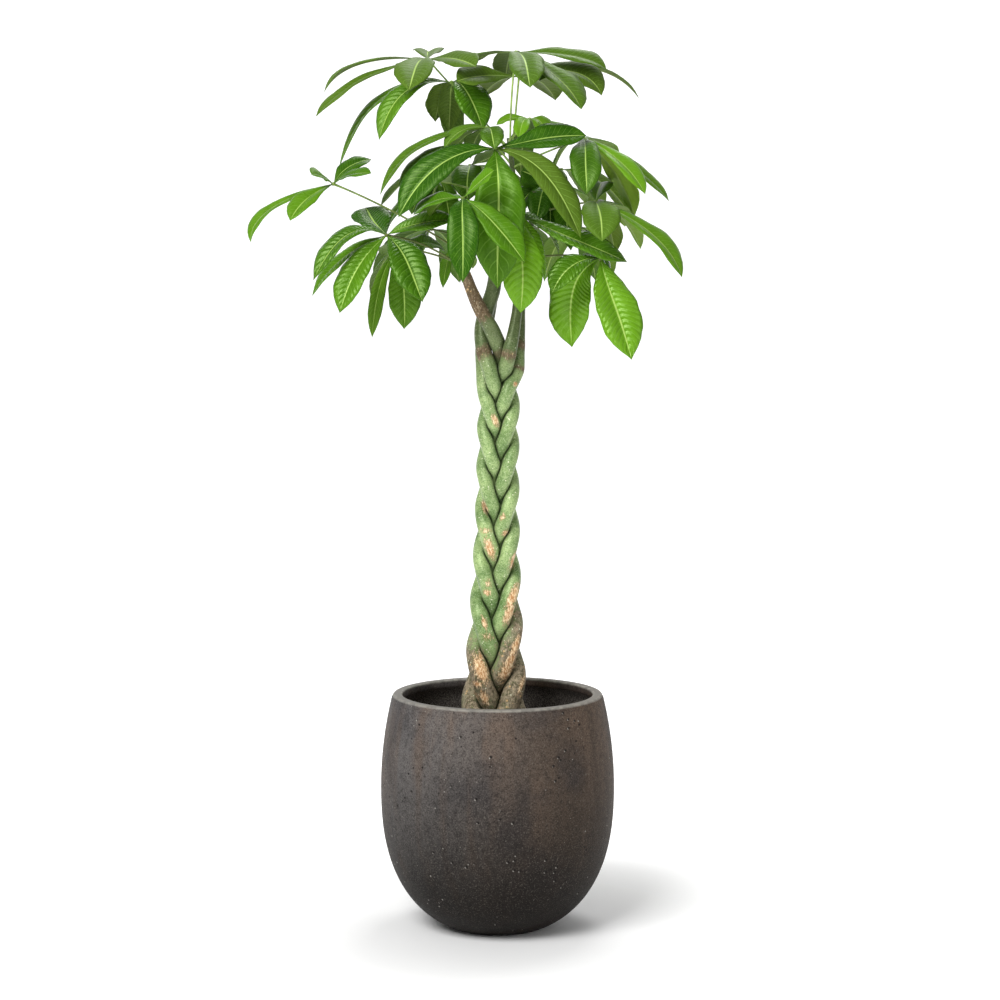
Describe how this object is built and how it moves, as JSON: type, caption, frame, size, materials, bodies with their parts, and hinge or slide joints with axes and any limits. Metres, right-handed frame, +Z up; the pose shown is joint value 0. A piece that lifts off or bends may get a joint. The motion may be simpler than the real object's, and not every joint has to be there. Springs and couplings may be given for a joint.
{
  "type": "potted money tree",
  "caption": "Braided money tree with palmate leaves on spreading stalks, growing in soil in a tall round-bellied pot with a flat rim.",
  "frame": {"origin": "middle of the pot's flat bottom, where it rests on the floor", "axes": "+Z up along the pot's axis and the trunk, front towards -Y, +X to the viewer's right"},
  "size_m": [0.7838, 0.6179, 1.6235],
  "materials": {
    "pot": "matte, fine-pitted fibre clay",
    "soil": "rough, crumbly",
    "bark": "smooth young bark, satin",
    "leaf": "waxy, semi-gloss"
  },
  "bodies": {
    "root": {"pot": "pot", "soil": "soil", "stem_1": "bark", "stem_2": "bark", "stem_3": "bark", "stem_4": "bark", "stem_5": "bark", "leaf_top_left": "leaf", "leaf_left_bright": "leaf", "leaf_left_arching": "leaf", "leaf_crown": "leaf", "leaf_crown_right": "leaf", "leaf_young_right": "leaf", "leaf_front": "leaf", "leaf_front_low": "leaf", "leaf_right_upper": "leaf", "leaf_right_middle": "leaf", "leaf_right_low": "leaf", "leaf_middle_right": "leaf", "leaf_left_middle": "leaf", "leaf_left_inner": "leaf", "leaf_left_small": "leaf", "leaf_far_left": "leaf", "leaf_inner_left": "leaf", "leaf_inner_right": "leaf", "leaf_back_left": "leaf", "leaf_back_right": "leaf", "leaf_back_low": "leaf", "leaf_back_far_left": "leaf", "leaf_back_far_right": "leaf"}
  },
  "joints": []
}
